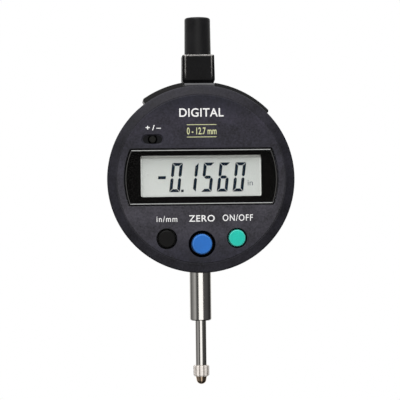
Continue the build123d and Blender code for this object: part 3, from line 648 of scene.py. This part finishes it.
def dress_cad():
    """Give every CAD piece its material."""
    looks = visible_looks()
    looks.update(inner_looks(looks["case_screws"]))
    plain = moulded_plastic("inner_plastic", (0.02, 0.02, 0.02), 0.5)
    for name, node in nodes.items():
        node.data.materials.clear()
        node.data.materials.append(looks.get(name, plain))


# ---------------------------------------------------------------- printed labels and painted shade in the recesses

INK_DEPTH = 0.015 * MM
WELD = 0.0005 * MM
# Steps in each curve of a letter, and a thickness that is then scaled to the ink's depth
LETTER_STEPS = 6
LETTER_THICKNESS = 0.01

# Words on the face: name, words, centre, width and height, boldness, spacing of the letters
WHITE_LABELS = (
    ("label_unit", "in/mm", (-12.5, -14.2), (7.4, 2.1), 0.004, 1.2),
    ("label_zero", "ZERO", (0.0, -14.1), (9.2, 2.35), 0.01, 1.1),
    ("label_power", "ON/OFF", (12.9, -14.0), (10.8, 2.3), 0.005, 1.15),
    ("label_sign", "+ / \u2013", (-17.0, 18.5), (5.5, 1.9), 0.025, 1.0),
    ("label_title", "DIGITAL", (0.3, 23.8), (15.9, 3.1), 0.012, 1.05),
)
RANGE_LABEL = ("label_range", "0 - 12.7 mm", (0.3, 17.2), (10.6, 2.5), 0.01, 1.0)
# Thin lines above and below the range: name, centre, width and height
RANGE_RULES = (
    ("rule_above", (0.3, 19.45), (10.6, 0.22)),
    ("rule_below", (0.3, 15.05), (10.6, 0.22)),
)

# Painted shade at the floors of the button recesses, as dark rings: button, outer radius, radius
# of the hole
RINGS = (("unit", 3.7, 3.45), ("zero", 4.78, 3.9), ("power", 3.58, 3.3))
RING_DEPTH = 1.38
SIGN_PLACE = (-17.3, 14.3)
SLOT_SIZE, SLOT_HOLE, SLOT_DEPTH = (7.0, 2.8), 1.7, 0.44
SIGN_RING, SIGN_HOLE, SIGN_DEPTH = 3.7, 1.3, 0.46
ROUND_STEPS = 48

LINE_INSET = 0.5
LINE_WIDTH = 0.3
ARC_STEPS = 24

UNIT_MARK = ("display_unit", "in", (17.75, -1.5), (1.9, 1.9), 0.01, 1.0)
DISPLAY_WIDTH = 43.4
DISPLAY_HEIGHT = 14.8
RIM_TOP, RIM_TOP_INSET = 0.4, 0.35
RIM_SIDE, RIM_SIDE_INSET = 0.25, 0.3


def on_face(across, y, up):
    """Point at a place on the dial, at depth y."""
    return Vector((across * MM, y, dial_z + up * MM))


def add_print(name, mesh, material):
    """Piece fixed to the case, with its mesh's seams closed and its faces turned outward."""
    shape = bmesh.new()
    shape.from_mesh(mesh)
    bmesh.ops.remove_doubles(shape, verts=shape.verts, dist=WELD)
    bmesh.ops.recalc_face_normals(shape, faces=shape.faces)
    shape.to_mesh(mesh)
    shape.free()
    mesh.materials.clear()
    mesh.materials.append(material)
    mesh.update()
    piece = link_new(name, mesh)
    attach(piece, "case")


def add_label(label, material, front=face_y):
    """Printed words, stretched to their size on the dial and one ink layer thick."""
    name, words, place, size, bold, spacing = label
    curve = bpy.data.curves.new(name, "FONT")
    curve.body = words
    curve.offset = bold
    curve.space_character = spacing
    curve.resolution_u = LETTER_STEPS
    curve.extrude = LETTER_THICKNESS
    source = bpy.data.objects.new(name + "_source", curve)
    bpy.context.scene.collection.objects.link(source)
    bpy.context.view_layer.update()
    graph = bpy.context.evaluated_depsgraph_get()
    mesh = bpy.data.meshes.new_from_object(source.evaluated_get(graph))
    bpy.data.objects.remove(source)
    low = [min(v.co[axis] for v in mesh.vertices) for axis in range(3)]
    high = [max(v.co[axis] for v in mesh.vertices) for axis in range(3)]
    for vertex in mesh.vertices:
        across, up, out = [
            (vertex.co[axis] - low[axis]) / (high[axis] - low[axis]) for axis in range(3)
        ]
        vertex.co = on_face(
            place[0] + (across - 0.5) * size[0],
            front - out * INK_DEPTH,
            place[1] + (up - 0.5) * size[1],
        )
    add_print(name, mesh, material)


def add_rule(name, place, size, material, front=face_y):
    """Thin printed line."""
    mesh = bpy.data.meshes.new(name)
    shape = bmesh.new()
    bmesh.ops.create_cube(shape, size=1.0)
    for vertex in shape.verts:
        vertex.co = on_face(
            place[0] + vertex.co.x * size[0],
            front + (vertex.co.y - 0.5) * INK_DEPTH,
            place[1] + vertex.co.z * size[1],
        )
    shape.to_mesh(mesh)
    shape.free()
    add_print(name, mesh, material)


def add_recess_shade(name, place, size, hole, depth, material):
    """Painted shade: a thin dark sheet with round ends at the floor of a recess, with a hole for
    the button.
    """
    width, height = size
    turns = [2 * math.pi * step / ROUND_STEPS for step in range(ROUND_STEPS)]
    outer, inner = [], []
    for turn in turns:
        shift = (width - height) / 2 * (1 if math.cos(turn) >= 0 else -1)
        outer.append((shift + height / 2 * math.cos(turn), height / 2 * math.sin(turn)))
        inner.append((hole * math.cos(turn), hole * math.sin(turn)))
    front = face_y + depth * MM
    points = []
    for level in (front - INK_DEPTH, front):
        points += [on_face(place[0] + x, level, place[1] + z) for x, z in outer + inner]
    count = ROUND_STEPS
    faces = []
    for a in range(count):
        b = (a + 1) % count
        faces.append((a, b, count + b, count + a))
        faces.append((2 * count + b, 2 * count + a, 3 * count + a, 3 * count + b))
        faces.append((b, a, 2 * count + a, 2 * count + b))
        faces.append((count + a, count + b, 3 * count + b, 3 * count + a))
    mesh = bpy.data.meshes.new(name)
    mesh.from_pydata(points, [], faces)
    add_print(name, mesh, material)


def add_labels():
    white = printed_ink("white_print", (0.95, 0.95, 0.95))
    cream = printed_ink("cream_print", (0.70, 0.72, 0.40))
    for label in WHITE_LABELS:
        add_label(label, white)
    add_label(RANGE_LABEL, cream)
    for name, place, size in RANGE_RULES:
        add_rule(name, place, size, cream)


def add_recess_shades():
    # Painted shade in the recesses round the buttons and in the sign button's slot
    dark = printed_ink("recess_painted_shade", (0.0012, 0.0012, 0.0012), 0.7, level=0.0)
    for name, outer, hole in RINGS:
        low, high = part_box(name + "_button")
        place = ((low.x + high.x) / 2 / MM, ((low.z + high.z) / 2 - dial_z) / MM)
        add_recess_shade("recess_shade_" + name, place, (2 * outer, 2 * outer), hole, RING_DEPTH, dark)
    soft = printed_ink("slot_painted_shade", (0.013, 0.013, 0.0145), 0.7, level=0.02)
    add_recess_shade("recess_shade_sign", SIGN_PLACE, SLOT_SIZE, SLOT_HOLE, SLOT_DEPTH, soft)
    ring = (SIGN_RING, SIGN_RING)
    add_recess_shade("recess_shade_sign_hole", SIGN_PLACE, ring, SIGN_HOLE, SIGN_DEPTH, dark)


def add_side_line(name, side, radius, bottom, top, material):
    """Curved end of the line round the window: side is -1 on the left and 1 on the right."""
    start, end = math.asin(bottom / radius), math.asin(top / radius)
    turns = [start + (end - start) * step / ARC_STEPS for step in range(ARC_STEPS + 1)]
    points = []
    for level in (lens_low.y, lens_low.y - INK_DEPTH):
        for r in (radius - LINE_WIDTH / 2, radius + LINE_WIDTH / 2):
            points += [on_face(side * r * math.cos(a), level, r * math.sin(a)) for a in turns]
    count = len(turns)
    faces = []
    for a in range(ARC_STEPS):
        b = a + 1
        faces.append((2 * count + a, 2 * count + b, 3 * count + b, 3 * count + a))
        faces.append((a, count + a, count + b, b))
        faces.append((a, b, 2 * count + b, 2 * count + a))
        faces.append((count + b, count + a, 3 * count + a, 3 * count + b))
    for cap in (0, ARC_STEPS):
        faces.append((cap, count + cap, 3 * count + cap, 2 * count + cap))
    mesh = bpy.data.meshes.new(name)
    mesh.from_pydata(points, [], faces)
    add_print(name, mesh, material)


def add_window_line():
    """Thin line round the window, just inside the lens's edge: a painted highlight of the lens's
    edge, bright along the top and bottom and dim up the sides.
    """
    bright = printed_ink("lens_edge_highlight", (0.42, 0.43, 0.43), 0.3, level=0.4)
    dim = printed_ink("side_line", (0.045, 0.045, 0.045), 0.4, level=0.2)
    radius = (lens_high.x - lens_low.x) / 2 / MM - LINE_INSET
    top = (lens_high.z - dial_z) / MM - LINE_INSET
    bottom = (lens_low.z - dial_z) / MM + LINE_INSET
    for name, up in (("line_top", top), ("line_bottom", bottom)):
        width = 2 * math.sqrt(radius * radius - up * up)
        add_rule(name, (0.0, up), (width, LINE_WIDTH), bright, lens_low.y)
    for name, side in (("line_left", -1), ("line_right", 1)):
        add_side_line(name, side, radius, bottom, top, dim)


def add_display_marks():
    """Small unit mark beside the display's last digit, and a painted highlight along the edge
    round the panel.
    """
    grey = printed_ink("display_mark", (0.13, 0.14, 0.15), 0.6, level=0.05)
    add_label(UNIT_MARK, grey, glass_low.y)
    # Painted highlight: thin bright strips along the top and both sides of the display panel
    glint = printed_ink("display_rim", (0.68, 0.69, 0.67), 0.3, level=0.3)
    middle = (glass_high.z + glass_low.z) / 2 / MM - dial_z / MM
    top = middle + DISPLAY_HEIGHT / 2 - RIM_TOP_INSET
    end = DISPLAY_WIDTH / 2 - RIM_SIDE_INSET
    upright = (RIM_SIDE, DISPLAY_HEIGHT)
    add_rule("display_rim_top", (0.0, top), (DISPLAY_WIDTH, RIM_TOP), glint, glass_low.y)
    add_rule("display_rim_left", (-end, middle), upright, glint, glass_low.y)
    add_rule("display_rim_right", (end, middle), upright, glint, glass_low.y)


# ---------------------------------------------------------------- return spring

SPRING_TURNS = 13
SPRING_WIRE_R = 0.17 * MM
STEPS_PER_TURN = 32
WIRE_SIDES = 8


def spring_mesh(radius, bottom, top):
    """Coil of round wire about the spindle's axis."""
    steps = SPRING_TURNS * STEPS_PER_TURN
    climb = math.atan2(top - bottom, 2 * math.pi * radius * SPRING_TURNS)
    flat = math.cos(climb)
    points = []
    for step in range(steps + 1):
        turn = 2 * math.pi * step / STEPS_PER_TURN
        out = Vector((math.cos(turn), math.sin(turn), 0.0))
        ahead = Vector((-math.sin(turn) * flat, math.cos(turn) * flat, math.sin(climb)))
        up = out.cross(ahead)
        centre = out * radius + Vector((0.0, 0.0, bottom + (top - bottom) * step / steps))
        for side in range(WIRE_SIDES):
            around = 2 * math.pi * side / WIRE_SIDES
            spoke = out * math.cos(around) + up * math.sin(around)
            points.append(centre + spoke * SPRING_WIRE_R)
    faces = []
    for first in range(0, steps * WIRE_SIDES, WIRE_SIDES):
        following = first + WIRE_SIDES
        for side in range(WIRE_SIDES):
            after = (side + 1) % WIRE_SIDES
            faces.append((first + side, following + side, following + after, first + after))
    last = steps * WIRE_SIDES
    faces.append(tuple(range(WIRE_SIDES)))
    faces.append(tuple(last + side for side in reversed(range(WIRE_SIDES))))
    mesh = bpy.data.meshes.new("spring")
    mesh.from_pydata(points, [], faces)
    return mesh


def add_spring():
    """Return spring as a coil of wire in place of the CAD spring, fixed to the case at its drawn
    length.
    """
    low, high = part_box("return_spring")
    bottom, top = low.z + SPRING_WIRE_R, high.z - SPRING_WIRE_R
    mesh = spring_mesh((high.x - low.x) / 2 - SPRING_WIRE_R, bottom, top)
    mesh.materials.append(nodes["return_spring"].data.materials[0])
    spring = link_new("spring", mesh)
    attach(spring, "case")
    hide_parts("return_spring")
    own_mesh(spring)


def main():
    bpy.context.scene.view_settings.view_transform = "Standard"
    add_camera()
    add_world()
    add_sun()
    add_floor()
    dress_cad()
    add_labels()
    add_recess_shades()
    add_window_line()
    add_display_marks()
    add_spring()


main()
